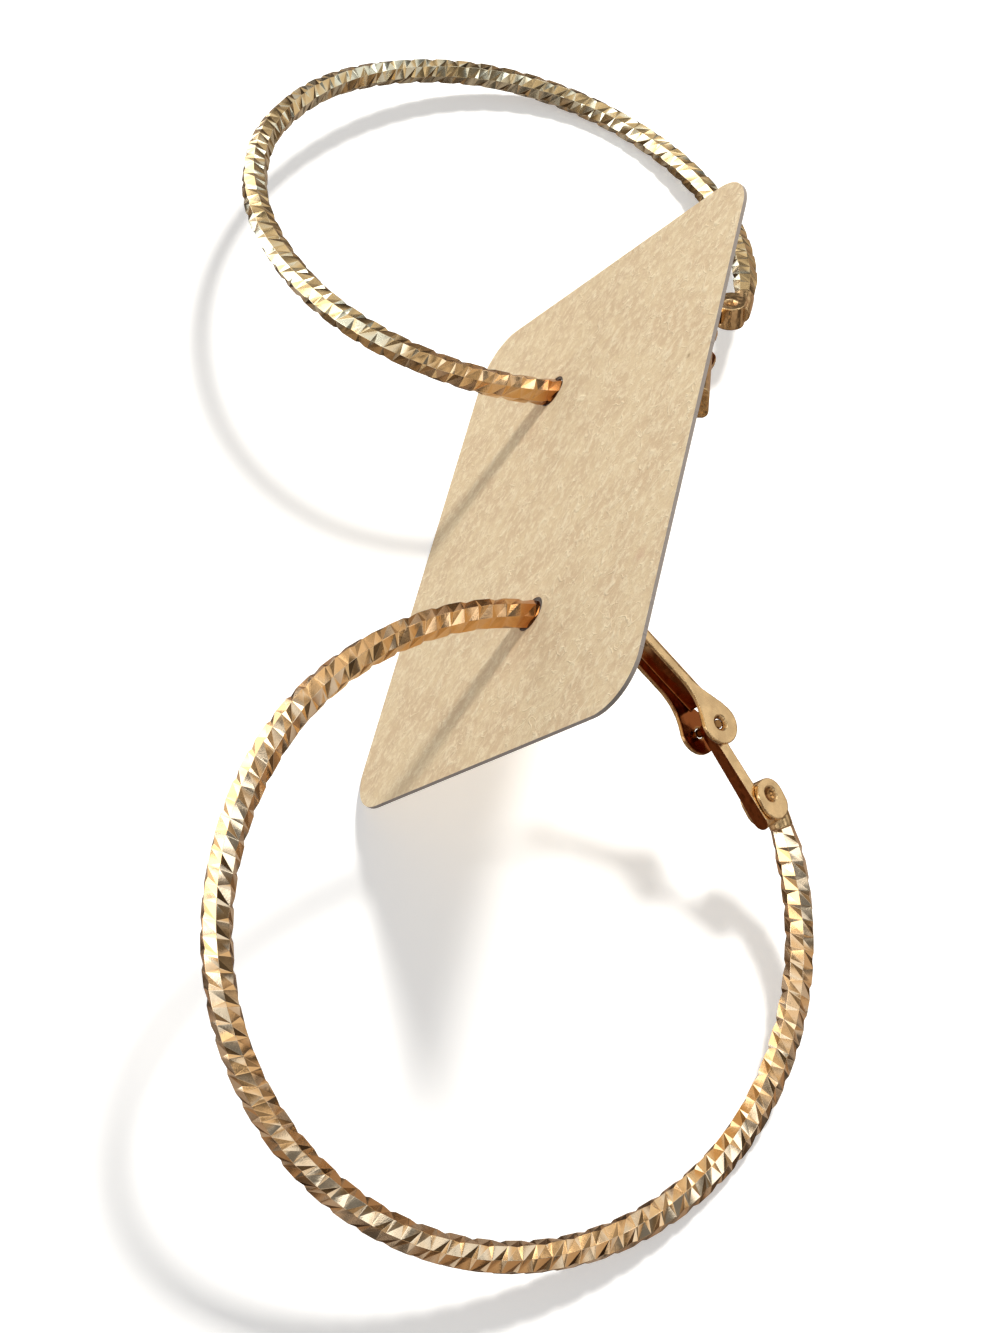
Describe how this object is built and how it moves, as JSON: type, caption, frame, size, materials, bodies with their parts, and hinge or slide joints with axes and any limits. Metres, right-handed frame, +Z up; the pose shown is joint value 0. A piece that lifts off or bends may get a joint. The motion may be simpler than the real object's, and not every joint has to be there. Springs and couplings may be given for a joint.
{
  "type": "pair of lever-back hoop earrings on a card",
  "caption": "Large lever-back hoop earrings of faceted gold tube, fastened through a rounded kraft card that leans between them as they lie.",
  "frame": {"origin": "on the surface that the pair lies on, under the middle of the whole set", "axes": "+Z up from the surface, +Y along the card's standing edge towards the far hoop, +X the way the card leans"},
  "size_m": [0.0792, 0.1409, 0.0392],
  "materials": {
    "gold_hoop": "gold plate, bright cut facets",
    "gold_clasp": "gold plate, polished",
    "kraft_card": "uncoated kraft card with fibres"
  },
  "bodies": {
    "pair_on_card": {"card": "kraft_card", "near_hoop": "gold_hoop", "near_end_bracket": "gold_clasp", "near_tongue": "gold_clasp", "near_hinge_pin": "gold_clasp", "far_hoop": "gold_hoop", "far_end_bracket": "gold_clasp", "far_tongue": "gold_clasp", "far_hinge_pin": "gold_clasp"},
    "near_lever": {"near_lever": "gold_clasp"},
    "far_lever": {"far_lever": "gold_clasp"}
  },
  "joints": [
    {"name": "near_lever_hinge", "type": "hinge", "parent": "pair_on_card", "child": "near_lever", "pos_m": [0.02392, -0.01734, 0.01385], "axis": [-0.4846, -0.0812, -0.871], "range_deg": [0, 85]},
    {"name": "far_lever_hinge", "type": "hinge", "parent": "pair_on_card", "child": "far_lever", "pos_m": [0.01464, 0.03037, 0.00967], "axis": [-0.1832, 0.379, 0.9071], "range_deg": [-30, 55]}
  ]
}
